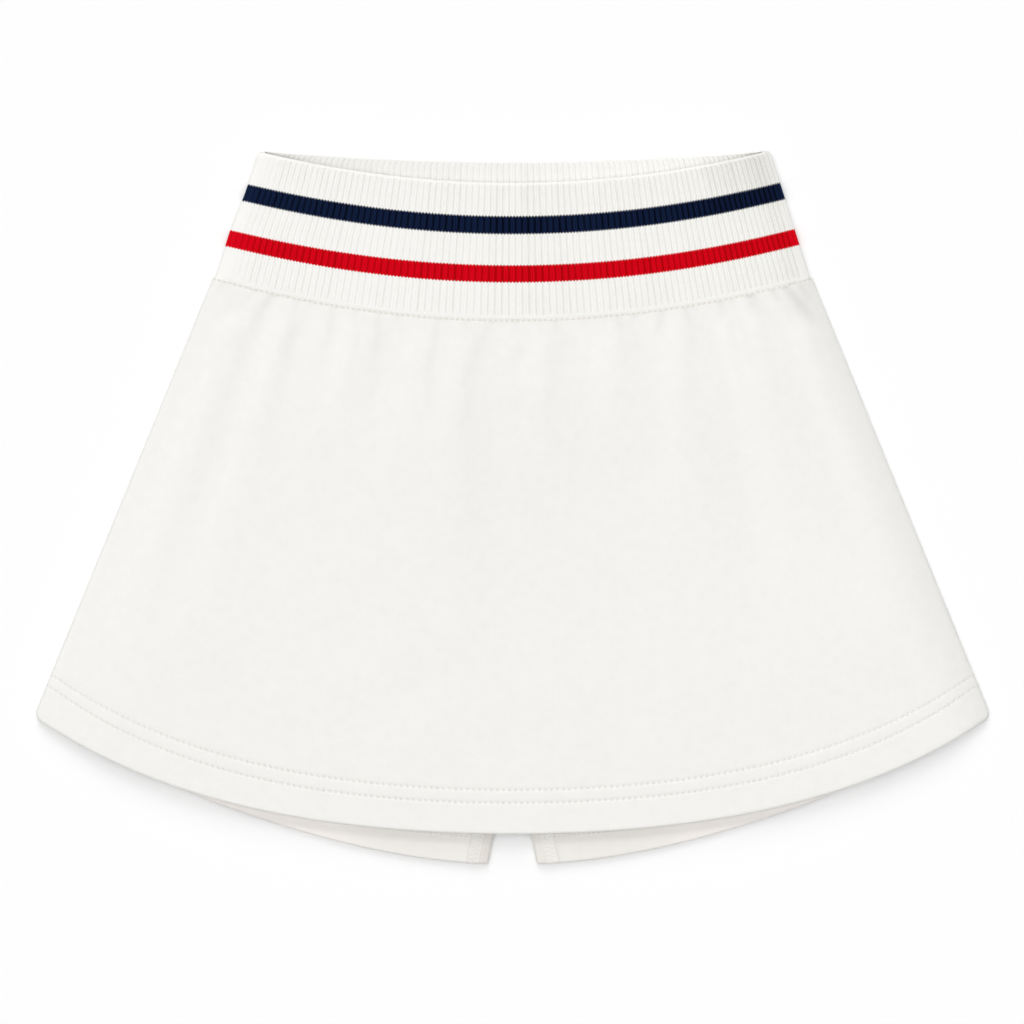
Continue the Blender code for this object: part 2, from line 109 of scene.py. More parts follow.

# Soft folds of the front: troughs, and ridges with a depth under 0. across is where one runs, width
# its half width, and start and end how far down it is seen. It drifts across on its way down, and a
# trough that starts at the seam is narrow there.
# Each fold's depth also darkens the front's colour as painted shade.
Fold = namedtuple("Fold", "across width depth end start drift", defaults=(0, 0))
FOLDS = [Fold(*row) for row in (
    (-0.913, 4, 0.4, 0.12), (-0.793, 6, 0.95, 0.95, 0, -0.07), (-0.685, 6, 0.65, 0.24),
    (-0.573, 4.6, 0.6, 0.13), (-0.491, 3.8, 0.5, 0.1), (-0.411, 6, 0.85, 0.32),
    (-0.355, 3.6, 0.45, 0.09), (-0.236, 5.5, 0.7, 0.27), (-0.098, 8, 1, 0.85, 0, 0.05),
    (-0.053, 3.4, 0.45, 0.09), (0.032, 5, 0.6, 0.13), (0.167, 8.5, 0.95, 0.42),
    (0.262, 3.8, 0.5, 0.11), (0.382, 7.5, 0.9, 0.45, 0, 0.03), (0.492, 4.2, 0.55, 0.12),
    (0.602, 8, 1, 0.8, 0, -0.06), (0.717, 5, 0.65, 0.22), (0.812, 7, 0.85, 0.75, 0, 0.04),
    (0.902, 4, 0.6, 0.14), (0.957, 4.5, 0.5, 0.3), (-0.913, 9, -0.8, 0.95, 0.06),
    (-0.743, 8, -0.9, 0.93, 0.02, -0.04), (-0.618, 5, -0.4, 0.16), (-0.528, 6, -0.8, 0.3, 0.01),
    (-0.308, 9, -0.5, 0.35, 0.02), (-0.178, 6, -0.5, 0.3, 0.02), (-0.013, 5, -0.4, 0.14),
    (0.082, 6, -0.4, 0.3, 0.02), (0.282, 9, -0.6, 0.3, 0.02), (0.532, 8, -0.8, 0.55, 0.01, -0.25),
    (0.672, 7, -0.8, 0.95, 0.05), (0.767, 6, -0.8, 0.3), (0.917, 9, -0.9, 0.8, 0.08),
    (-0.448, 12, -0.4, 0.99, 0.74), (-0.228, 12, -0.4, 0.97, 0.7), (0.022, 11, -0.35, 0.98, 0.78),
    (0.332, 10, -0.35, 0.96, 0.74), (0.832, 8, -0.5, 0.95, 0.55), (0.62, 9, 0.28, 0.92, 0.6, -1.2),
    (0.1, 38, 0.45, 1.03, 0.15),
)]

# Small gathers that the waist seam pulls in. Each leans across on its way down to its reach.
# Each gather's depth also darkens the front's colour as painted shade.
Pucker = namedtuple("Pucker", "across width depth reach lean", defaults=(0,))
PUCKERS = [Pucker(*row) for row in (
    (-0.955, 1.8, 0.2, 0.05, -0.02), (-0.85, 1.9, 0.22, 0.09, -0.06), (-0.79, 2.8, 0.55, 0.08, -0.04),
    (-0.71, 1.8, 0.32, 0.07), (-0.662, 1.9, 0.22, 0.04), (-0.592, 2, 0.36, 0.08),
    (-0.52, 1.7, 0.3, 0.05, 0.02), (-0.444, 1.8, 0.34, 0.1, 0.02), (-0.378, 2.2, 0.2, 0.05),
    (-0.312, 1.7, 0.16, 0.03), (-0.246, 1.9, 0.32, 0.09), (-0.152, 1.8, 0.36, 0.06, 0.01),
    (-0.064, 2.2, 0.38, 0.06, -0.03), (0.01, 2.2, 0.28, 0.04), (0.088, 2, 0.2, 0.04),
    (0.142, 2.2, 0.36, 0.05), (0.238, 2, 0.24, 0.04), (0.3, 1.8, 0.16, 0.03),
    (0.35, 2.2, 0.38, 0.06, 0.01), (0.408, 2.2, 0.4, 0.03, -0.01), (0.502, 2.2, 0.38, 0.07, -0.04),
    (0.572, 2, 0.45, 0.06, 0.01), (0.601, 1.6, 0.35, 0.02), (0.69, 2.2, 0.45, 0.05),
    (0.726, 1.8, 0.28, 0.03), (0.79, 3, 0.65, 0.06), (0.862, 1.9, 0.5, 0.06, 0.02),
    (0.908, 2.6, 0.95, 0.12, 0.06), (0.952, 2.2, 0.6, 0.06, 0.02),
)]

LegLevel = namedtuple("LegLevel", "down inner_x inner_y outer_x outer_y power")
CROTCH = 0.77
LEG_LEVELS = (
    LegLevel(0, 0.15, 109.9, 170.2, 131.6, 2),
    LegLevel(CROTCH, 0.15, -137, 200, -108, 1.8),
    LegLevel(1, 14.5, -209, 207.5, -159.5, 1.68),
)
LEG_LENGTH = 313
LEG_HEM_TURN = 17
LEG_DROP = (4.5, 10)
LEG_FOLD_ROUND = 2.4
INSEAM_STRIP = (5.7, 12.9)
INSEAM_SEAMS = (6.6, 12)
INSEAM_RELIEF = 0.35

# Sewing: rows as millimetres above a hem, their pitches, and the grooves that they pull in.
HEM_ROWS = (25.2, 17.7)
HEM_PITCH = 3.5
WAIST_PITCH = 3.2
WAIST_HOLE = 1.5
ROW_SHORT = 1.2
LEG_ROWS = (15.6, 18.8)
LEG_PITCH = 2.9
GROOVE_DEPTH = 0.26
GROOVE_WIDTH = (1.1, 0.62)


def smooth(value, start, end):
    part = np.clip((value - start) / (end - start), 0, 1)
    return part * part * (3 - 2 * part)


def bowed(distance, reach):
    """An even curve that is never steep, from 0 at an edge to 1 this far from it."""
    return 1 - (1 - np.clip(distance / reach, 0, 1)) ** 2


def rounded(distance, reach):
    """A quarter circle, from 0 at an edge to 1 this far from it."""
    return np.sqrt(bowed(distance, reach))


def edge(distance, reach):
    """How much of a rounded edge is left, from 1 at the edge to 0 this far from it."""
    return 1 - rounded(distance, reach)


def ridge(off, half_width):
    """A soft ridge 1 high."""
    return np.exp(-((off / half_width) ** 2))


def at(levels, down):
    """The row of a table at these places down."""
    places = [row.down for row in levels]
    fields = range(len(levels[0]))
    return type(levels[0])(*(np.interp(down, places, [row[i] for row in levels]) for i in fields))


def row_y(level, x):
    share = (x / level.half_width) ** 2
    rise = (1 - level.late) * share + level.late * share * share
    return level.centre_y + (level.side_y - level.centre_y) * rise


def drift(x, y, size, seed):
    """Slow uneven waves, about 1 high and this size across."""
    chance = np.random.default_rng(seed)
    total = 0
    for _ in range(7):
        turn, phase = chance.uniform(0, math.tau, 2)
        pace = math.tau / (size * chance.uniform(0.6, 1.7))
        total = total + np.sin(pace * (x * math.cos(turn) + y * math.sin(turn)) + phase)
    return total / 3


def over_back(down):
    return SKIRT_CLOTH + SKIRT_HEM_EXTRA * smooth(down, *HEM_CLIMB) + GAP


def corner_cut(levels, down):
    """How far a panel's side is drawn in at its rounded corners."""
    length = levels[0].side_y - levels[-1].side_y
    if levels in BAND_WALLS:
        return BAND_CORNER * edge(down * length, BAND_CORNER)
    return HEM_CORNER * edge((1 - down) * length, HEM_CORNER)


def left_taper(levels, down, across):
    """How far the upper part of the waistband's end at -X is drawn in."""
    if levels not in BAND_WALLS:
        return 0
    return np.where(across < 0, BAND_LEFT_IN * (1 - smooth(down, 0.28, 0.62)), 0)


Plan = namedtuple("Plan", "x y inset across down half_width")


def plan(levels, downs, places, narrower=0):
    """Where the points of one face of a panel lie, seen from above."""
    down, across = np.meshgrid(downs, places, indexing="ij")
    level = at(levels, down)
    reach = level.half_width - corner_cut(levels, down) - left_taper(levels, down, across)
    x = across * (reach - narrower)
    return Plan(x, row_y(level, x), reach - np.abs(x), across, down, level.half_width)


def with_sides(near, middle):
    """Places across, with the same crowded ones at each side."""
    near = np.array(near)
    return np.concatenate([-1 + near, middle, (1 - near)[::-1]])


def spread(steps, crowd):
    """Places across a panel, even in the middle."""
    return with_sides(crowd[:-1], np.linspace(-1 + crowd[-1], 1 - crowd[-1], steps + 1))


def shown(name, data):
    """A new object with these data, in the scene."""
    made = bpy.data.objects.new(name, data)
    scene.collection.objects.link(made)
    return made


class Cloth:
    """Collects the points, faces and knit places of one piece, then makes its mesh."""

    def __init__(self):
        self.points, self.marks, self.faces, self.count = [], [], [], 0

    def skin(self, x, y, z, u, v, share=0, inside=0, ring=False):
        """Adds rows of points with their faces, and gives back their numbers. A ring closes up."""
        for kept, values in ((self.points, (x, y, z)), (self.marks, (u, v, share, inside))):
            kept.append(np.stack(np.broadcast_arrays(*values), axis=-1).reshape(-1, len(values)))
        grid = self.count + np.arange(x.size).reshape(x.shape)
        self.count += x.size
        if ring:
            grid = np.hstack([grid, grid[:, :1]])
        quads = (grid[:-1, :-1], grid[1:, :-1], grid[1:, 1:], grid[:-1, 1:])
        self.faces += np.stack(quads, axis=-1).reshape(-1, 4).tolist()
        return grid

    def join(self, first, second):
        """Triangles between two edges that run the same way."""
        points = np.concatenate(self.points)
        first, second = first.tolist(), second.tolist()
        while len(first) + len(second) > 2:
            a, b = first[0], second[0]
            ahead = first if len(second) == 1 else second
            if len(first) > 1 and len(second) > 1:
                near_first = np.linalg.norm(points[first[1]] - points[b])
                if near_first <= np.linalg.norm(points[a] - points[second[1]]):
                    ahead = first
            self.faces.append([a, ahead[1], b])
            ahead.pop(0)

    def close(self, outer, inner, *sides):
        """Closes a piece's top and hem, and these sides."""
        for place in (0, -1, *sides):
            self.join(outer[place], inner[place])

    def piece(self, name, material):
        data = bpy.data.meshes.new(name)
        data.from_pydata((np.concatenate(self.points) * MM).tolist(), [], self.faces)
        work = bmesh.new()
        work.from_mesh(data)
        bmesh.ops.recalc_face_normals(work, faces=work.faces)
        if work.calc_volume(signed=True) < 0:
            bmesh.ops.reverse_faces(work, faces=work.faces)
        work.to_mesh(data)
        work.free()
        marks = np.concatenate(self.marks)
        corners = np.empty(len(data.loops), np.int32)
        data.loops.foreach_get("vertex_index", corners)
        knit = data.uv_layers.new(name="knit")
        knit.data.foreach_set("uv", marks[corners, :2].astype(np.float32).ravel())
        # The relief mark is how strong the ribs are on the waistband, and how much painted shade darkens
        # the skirt front.
        for place, title in ((0, "wale"), (2, "relief_and_painted_shade"), (3, "inside")):
            mark = data.attributes.new(title, "FLOAT", "POINT")
            mark.data.foreach_set("value", marks[:, place].astype(np.float32))
        data.materials.append(material)
        data.shade_smooth()
        return shown(name, data)


# ---- Node work ----


def operators(operation):
    """An operator of Number and its reflected form, so that 1 - mask works too."""
    return (
        lambda self, other: self.bench.sum(operation, self, other),
        lambda self, other: self.bench.sum(operation, other, self),
    )


class Number:
    """A socket. Sums on it add Math nodes."""

    __add__, __radd__ = operators("ADD")
    __sub__, __rsub__ = operators("SUBTRACT")
    __mul__, __rmul__ = operators("MULTIPLY")
    __truediv__, __rtruediv__ = operators("DIVIDE")

    def __init__(self, bench, socket):
        self.bench, self.socket = bench, socket

    def __neg__(self):
        return self * -1

    def __abs__(self):
        return self.bench.sum("ABSOLUTE", self)

    def part(self):
        """The part after the point."""
        return self.bench.sum("FRACT", self)


class Bench:
    """Adds nodes to one tree."""

    def __init__(self, tree):
        self.tree = tree

    def node(self, kind, settings=None, **values):
        """The outputs of a new node: its settings first, then its sockets. A name's _ stands for a
        space, and in_2 means the third socket."""
        made = self.tree.nodes.new(kind)
        for name, value in (settings or {}).items():
            setattr(made, name, value)
        for name, value in values.items():
            title = int(name[3:]) if name.startswith("in_") else name.replace("_", " ")
            socket = made.inputs[title]
            value = value.socket if isinstance(value, Number) else value
            if isinstance(value, bpy.types.NodeSocket):
                self.tree.links.new(value, socket)
            else:
                socket.default_value = value
        return made.outputs

    def number(self, kind, settings=None, output=0, **values):
        return Number(self, self.node(kind, settings, **values)[output])

    def numbers(self, vector):
        """A vector's parts."""
        return [Number(self, part) for part in self.node("ShaderNodeSeparateXYZ", Vector=vector)]

    def sum(self, operation, *parts):
        values = {f"in_{place}": part for place, part in enumerate(parts)}
        return self.number("ShaderNodeMath", {"operation": operation}, **values)

    def step(self, value, start, end):
        """0 up to start, 1 from end and an even S between."""
        kind = {"interpolation_type": "SMOOTHSTEP"}
        return self.number("ShaderNodeMapRange", kind, Value=value, From_Min=start, From_Max=end)

    def blend(self, share, first, second):
        """Colour between two colours."""
        kind = {"data_type": "RGBA"}
        return self.node("ShaderNodeMix", kind, in_0=share, in_6=first, in_7=second)[2]


def dressed(name, **values):
    """A new material and its shader, with these values. A name's _ stands for a space."""
    material = bpy.data.materials.new(name)
    material.use_nodes = True
    shader = material.node_tree.nodes["Principled BSDF"]
    for title, value in values.items():
        shader.inputs[title.replace("_", " ")].default_value = value
    return material, shader


class Finish(Bench):
    """A cloth material."""

    def __init__(self, name, roughness, sheen):
        look = {"Sheen_Weight": sheen, "Sheen_Roughness": 0.6, "Specular_IOR_Level": 0.02}
        self.material, self.shader = dressed(name, Roughness=roughness, **look)
        super().__init__(self.material.node_tree)

    def place(self):
        """Object coordinates in millimetres, as two numbers and a vector."""
        coords = self.node("ShaderNodeTexCoord")["Object"]
        x, y, _ = self.numbers(coords)
        return x * 1000, y * 1000, coords

    def knit(self):
        """The knit map's two numbers."""
        return self.numbers(self.node("ShaderNodeUVMap", {"uv_map": "knit"})[0])[:2]

    def mark(self, name):
        """A number that the cloth's points carry."""
        return self.number("ShaderNodeAttribute", {"attribute_name": name}, output=2)

    def cloud(self, coords, scale, detail=2):
        """Soft noise from -1 to 1."""
        noise = self.number("ShaderNodeTexNoise", Vector=coords, Scale=scale, Detail=detail)
        return noise * 2 - 1

    def loops(self, wale, course):
        """Rows of knitted loops, as a height from 0 to 1. A wale and a course are each one wide."""
        beside = abs(wale.part() - 0.5)
        along = (course + beside * 0.9).part()
        loop = self.sum("SINE", along * math.pi) * 0.6
        return loop + self.sum("SINE", wale.part() * math.pi) * 0.4

    def tone(self, colour, share):
        """A colour made lighter or darker by a share of itself."""
        level = share + 1
        tint = self.node("ShaderNodeCombineXYZ", X=level, Y=level, Z=level)[0]
        return self.node("ShaderNodeVectorMath", {"operation": "MULTIPLY"}, in_0=colour, in_1=tint)[0]

    def done(self, colour, height, deep, roughness=None):
        """Links the colour and a height, in shares of deep millimetres, to the shader."""
        bump = self.node("ShaderNodeBump", Height=height, Distance=deep * MM, Strength=1)[0]
        self.tree.links.new(bump, self.shader.inputs["Normal"])
        self.tree.links.new(colour, self.shader.inputs["Base Color"])
        if roughness is not None:
            self.tree.links.new(roughness.socket, self.shader.inputs["Roughness"])
        return self.material


def stitch_holes(look, along, off_row, pitch, half_row, size):
    """1 where a needle has gone through, between the stitches of one row."""
    turn = abs(((along + half_row) / pitch).part() - 0.5)
    hole = 1 - look.step(turn, 0.1 * size, 0.26 * size)
    return hole * (1 - look.step(abs(off_row), 0.3, 1)) * size


WHITE_YARN = (0.906, 0.897, 0.868, 1)
SHORTS_YARN = (0.85, 0.828, 0.786)
SKIRT_YARN = (0.879, 0.871, 0.842)


def rib_material():
    """Rib knit with stripes. The knit map counts ribs across and millimetres down."""
    look = Finish("rib_knit", 0.9, 0.015)
    rib, down = look.knit()
    side = rib / RIBS_A_HALF
    share, inside = look.mark("relief_and_painted_shade"), look.mark("inside")
    # Painted shade: line and the groove mask below darken the yarn in the grooves and along each rib's
    # middle line, where shade falls.
    to_ridge = 0.5 - abs(rib.part() - 0.5)
    line = look.step(to_ridge, 0.3, 0.48) + (1 - look.step(to_ridge, 0, 0.12)) * 0.35
    painted_groove_shade = look.step(to_ridge, 0.14, 0.42) + (1 - look.step(to_ridge, 0.02, 0.16)) * 0.6
    coords = look.place()[2]
    cloud = look.cloud(coords, 55, 3)
    fuzz = look.cloud(coords, 900, 1)
    # Painted shade in the grooves: the white yarn turns a darker grey there, more so towards +X.
    white = look.blend(line * share * (side * 0.4 + 1.1), WHITE_YARN, (0.785, 0.771, 0.735, 1))
    # Painted shade: the band's outside darkens towards its right end, where it faces away from the
    # light. Painted light and shade: the inside turns lighter towards +X and darker towards -X.
    turned_away = look.step(side - look.step(down, 14, 38) * 0.13, 0.75, 1.15)
    turned_away = turned_away * (1 - inside) - side * inside * 0.7
    colour = look.tone(white, cloud * 0.01 + fuzz * 0.012 - turned_away * 0.105)
    teeth = abs(look.sum("SINE", rib * math.tau)) * 0.85 - 0.5
    for start, end, left, right, jagged, raised, sunk in STRIPES:
        drop = (side * ((right - left) / 2) + (right + left) / 2) * BAND_LENGTH
        place = down - side * side * drop
        start, end = start * BAND_LENGTH, end * BAND_LENGTH
        upper = look.step(place + teeth * jagged, start - 0.12, start + 0.12)
        lower = look.step(place - teeth * jagged, end - 0.12, end + 0.12)
        # Painted shade: each stripe's yarn turns to its darker colour in the grooves.
        yarn = look.blend(look.sum("MINIMUM", painted_groove_shade * (share * 0.6 + 0.4), 1), raised, sunk)
        yarn = look.tone(yarn, cloud * 0.05 + fuzz * 0.1)
        colour = look.blend(upper * (1 - lower) * (1 - inside), colour, yarn)
    height = look.loops(rib * 4, down / 0.8) + fuzz * 0.2
    return look.done(colour, height, 0.045)


def jersey_material(name, colour, rows, wale, course, strip=None):
    """Fine jersey with sewn rows. The knit map runs in millimetres along a row and above the hem,
    and strip is where a leg's taped inseam starts and ends along it."""
    look = Finish(name, 0.84, 0.16)
    x, y, coords = look.place()
    along, above = look.knit()
    cloud = look.cloud(coords, 28, 3)
    fuzz = look.cloud(coords, 1100, 1)
    holes = 0
    for place, pitch, half_row, size in rows:
        holes = stitch_holes(look, along, above - place, pitch, half_row, size) + holes
    # A little darker along the first 1.6 mm above a hem.
    hem_edge_darkening = 1 - look.step(above, 0.2, 1.6)
    shade = (cloud + look.cloud(coords, 9)) * 0.005 + look.cloud(coords, 170) * 0.026 + fuzz * 0.01
    # Painted shade: the relief mark darkens the front in its folds, gathers and right edge.
    tinted = look.tone(colour, shade - hem_edge_darkening * 0.012 - look.mark("relief_and_painted_shade") * 0.013)
    if strip is not None:
        start, end = strip
        at_right = look.step(x, -1, 1)
        under_tape = 1 - look.step(along, start - 0.8, start)
        lines = (1 - look.step(abs(along - end), 0.2, 0.7)) * 0.22
        lines = lines + (1 - look.step(abs(along - start), 0.2, 0.6)) * 0.1
        tape = look.step(along, start, start + 0.6) * (1 - look.step(along, end - 0.4, end))
        # Painted light: the legs turn lighter and warmer from 70 mm out from the middle, against the
        # shade that the skirt's hem casts on them.
        outer = look.step(abs(x), 70, 110)
        tinted = look.blend(outer * 0.5, tinted, (0.957, 0.902, 0.874, 1))
        # Painted shade between the inner edge and the tape, much stronger on the leg at -X, together
        # with the tape's own dark seam lines.
        painted_shade_and_seam_lines = look.sum("MINIMUM", under_tape * (0.38 - at_right * 0.23) + lines, 1)
        tinted = look.blend(painted_shade_and_seam_lines, tinted, (0.6, 0.555, 0.5, 1))
        # Painted light and shade: the tape is lighter on the leg at +X and darker on the leg at -X.
        tinted = look.tone(tinted, tape * (at_right * 0.05 - 0.02))
    # Painted shade in the needle holes: a darker warm colour there, fading towards the sides, more so at
    # +X.
    seen_less = look.step(x, 110, 210) * 0.4 + look.step(-x, 180, 240) * 0.25
    tinted = look.blend(holes * (0.32 - seen_less * 0.32), tinted, (0.67, 0.595, 0.5, 1))
    height = look.loops(x / wale, y / course) + cloud * 0.3 + fuzz * 0.2 - holes * 3
    return look.done(tinted, height, 0.05, 0.84 + cloud * 0.03)


def thread_material():
    """Spun polyester sewing thread: a fine twist and a faint gloss."""
    look = Finish("sewing_thread", 0.55, 0.2)
    x, y, coords = look.place()
    twist = look.sum("SINE", (x * 1.7 + y) * (math.tau / 0.55))
    fuzz = look.cloud(coords, 1500, 1)
    colour = look.tone((0.885, 0.878, 0.852), twist * 0.015 + fuzz * 0.015)
    return look.done(colour, twist * 0.5 + fuzz * 0.3, 0.04)


def geometry_tree(name, *numbers, **others):
    """A new Geometry Nodes tree's bench and named inputs, most of them numbers."""
    tree = bpy.data.node_groups.new(name, "GeometryNodeTree")
    kinds = {"Geometry": "Geometry", **dict.fromkeys(numbers, "Float"), **others, "Material": "Material"}
    for title, kind in kinds.items():
        tree.interface.new_socket(title, in_out="INPUT", socket_type="NodeSocket" + kind)
    tree.interface.new_socket("Geometry", in_out="OUTPUT", socket_type="NodeSocketGeometry")
    bench = Bench(tree)
    return bench, {socket.name: Number(bench, socket) for socket in bench.node("NodeGroupInput")}


def finish_tree(bench, geometry, given):
    """Every tree ends in real geometry with its material."""
    real = bench.node("GeometryNodeRealizeInstances", Geometry=geometry)[0]
    bare = bench.node("GeometryNodeSetMaterial", Geometry=real, Material=given["Material"])[0]
    bench.node("NodeGroupOutput", Geometry=bare)
    return bench.tree


def rib_tree():
    """Presses knitted grooves into a smooth wall, along the wales marked on its points."""
    bench, given = geometry_tree("knitted_ribs", "Depth", "Groove width", "Middle line")
    wale = bench.number("GeometryNodeInputNamedAttribute", Name="wale")
    share = bench.number("GeometryNodeInputNamedAttribute", Name="relief_and_painted_shade")
    off = abs((wale + 0.5).part() - 0.5)
    groove = 1 - bench.step(0.5 - off, 0, given["Groove width"])
    line = (1 - bench.step(off, 0, 0.13)) * given["Middle line"]
    deep = (groove + line) * share * given["Depth"] * -1
    normal = bench.node("GeometryNodeInputNormal")[0]
    push = bench.node("ShaderNodeVectorMath", {"operation": "SCALE"}, in_0=normal, Scale=deep)[0]
    moved = bench.node("GeometryNodeSetPosition", Geometry=given["Geometry"], Offset=push)[0]
    return finish_tree(bench, moved, given)


def sewing_tree():
    """Lays bent stitches along rows. A point's "up" mark is the way that the cloth faces."""
    names = ("Pitch", "Stitch length", "Thread radius", "Rise", "Slant", "Looseness")
    bench, given = geometry_tree("sewing", *names, Seed="Int")
    node = bench.node
    half, radius = given["Stitch length"] * 0.5, given["Thread radius"]
    sunk = radius * -1.2
    start = node("ShaderNodeCombineXYZ", X=-half, Z=sunk)[0]
    middle = node("ShaderNodeCombineXYZ", Z=given["Rise"] * 2)[0]
    last = node("ShaderNodeCombineXYZ", X=half, Z=sunk)[0]
    bend = node("GeometryNodeCurveQuadraticBezier", Resolution=5, Start=start, Middle=middle, End=last)
    wire = node("GeometryNodeCurvePrimitiveCircle", Resolution=6, Radius=radius)[0]
    stitch = node("GeometryNodeCurveToMesh", Curve=bend[0], Profile_Curve=wire, Fill_Caps=True)[0]
    line = node("GeometryNodeMeshToCurve", Mesh=given["Geometry"])[0]
    row = node("GeometryNodeResampleCurve", {"mode": "LENGTH"}, Curve=line, Length=given["Pitch"])[0]
    tangent = node("GeometryNodeInputTangent")[0]
    up = node("GeometryNodeInputNamedAttribute", {"data_type": "FLOAT_VECTOR"}, Name="up")[0]
    axes = {"primary_axis": "X", "secondary_axis": "Z"}
    lie = node("FunctionNodeAxesToRotation", axes, Primary_Axis=tangent, Secondary_Axis=up)[0]
    every_other = bench.sum("MODULO", bench.number("GeometryNodeInputIndex"), 2)
    turn = (every_other * 2 - 1) * given["Slant"]
    loose = bench.number("FunctionNodeRandomValue", output=1, in_2=-1, in_3=1, Seed=given["Seed"])
    twist = node("ShaderNodeCombineXYZ", Z=turn + loose * given["Looseness"])[0]
    twist = node("FunctionNodeEulerToRotation", Euler=twist)[0]
    local = {"rotation_space": "LOCAL"}
    turned = node("FunctionNodeRotateRotation", local, Rotation=lie, Rotate_By=twist)[0]
    laid = node("GeometryNodeInstanceOnPoints", Points=row, Instance=stitch, Rotation=turned)[0]
    return finish_tree(bench, laid, given)


def made_by(tree, source, values):
    """Gives the source the plain mesh that the tree makes of it."""
    change = source.modifiers.new(tree.name, "NODES")
    change.node_group = tree
    for item in tree.interface.items_tree:
        if item.in_out == "INPUT" and item.name in values:
            change[item.identifier] = values[item.name]
    ready = source.evaluated_get(bpy.context.evaluated_depsgraph_get())
    source.data = bpy.data.meshes.new_from_object(ready)
    source.modifiers.clear()
    source.data.shade_smooth()
    return source


def sewn(name, rows, pitch, length, radius, rise, slant=0.0):
    """Stitches along rows. A row is its points in millimetres, 1 or -1 as the cloth there faces up
    or down, and how far off the cloth it lies."""
    points, edges, ups = [], [], []
    for line, facing, off in rows:
        first, up = len(points), np.array([0, 0, facing])
        points += ((line + up * off) * MM).tolist()
        ups += [up] * len(line)
        edges += [(first + i, first + i + 1) for i in range(len(line) - 1)]
    data = bpy.data.meshes.new(name)
    data.from_pydata(points, edges, [])
    mark = data.attributes.new("up", "FLOAT_VECTOR", "POINT")
    mark.data.foreach_set("vector", np.array(ups, np.float32).ravel())
    sizes = {"Pitch": pitch, "Stitch length": length, "Thread radius": radius, "Rise": rise}
    sizes = {title: size * MM for title, size in sizes.items()}
    sizes |= {"Slant": slant, "Looseness": 0.05, "Seed": 7, "Material": THREAD}
    return made_by(SEWING, shown(name, data), sizes)


def merged(parts):
    """Several objects of one body as one piece, under the first one's name. It has no material and
    shows in plain light grey."""
    work = bmesh.new()
    for part in parts:
        work.from_mesh(part.data)
    work.to_mesh(parts[0].data)
    work.free()
    parts[0].data.materials.clear()
    for part in parts[1:]:
        bpy.data.objects.remove(part, do_unlink=True)
    parts[0].data.shade_smooth()
    return parts[0]


def row_length(x, y):
    """Running length along each row."""
    steps = np.cumsum(np.hypot(np.diff(x), np.diff(y)), axis=-1)
    return np.insert(steps, 0, 0, axis=-1)


def even_pitch(levels, down, pitch, short):
    """The pitch that fits a whole number of stitches in this row, and half the row's length."""
    level = at(levels, down)
    x = np.linspace(-1, 1, 601) * (level.half_width - short)
    length = row_length(x, row_y(level, x))[-1]
    return length / int(length / pitch), length / 2


# ---- Waistband ----


def rib_number(across):
    """Ribs counted from the middle. They crowd towards the sides, more so at +X."""
    return RIBS_A_HALF * (across + RIB_LEAN * across**2 + RIB_CROWDING * across**3)


def rib_columns(offsets, sides):
    """Places across for each rib's columns."""
    fine = np.linspace(-1, 1, 8001)
    first, last = math.ceil(rib_number(-1)) + 2, math.floor(rib_number(1)) - 2
    counts = np.add.outer(np.arange(first, last + 1), offsets).ravel()
    return with_sides(sides, np.interp(np.append(counts, last + 0.5), rib_number(fine), fine))


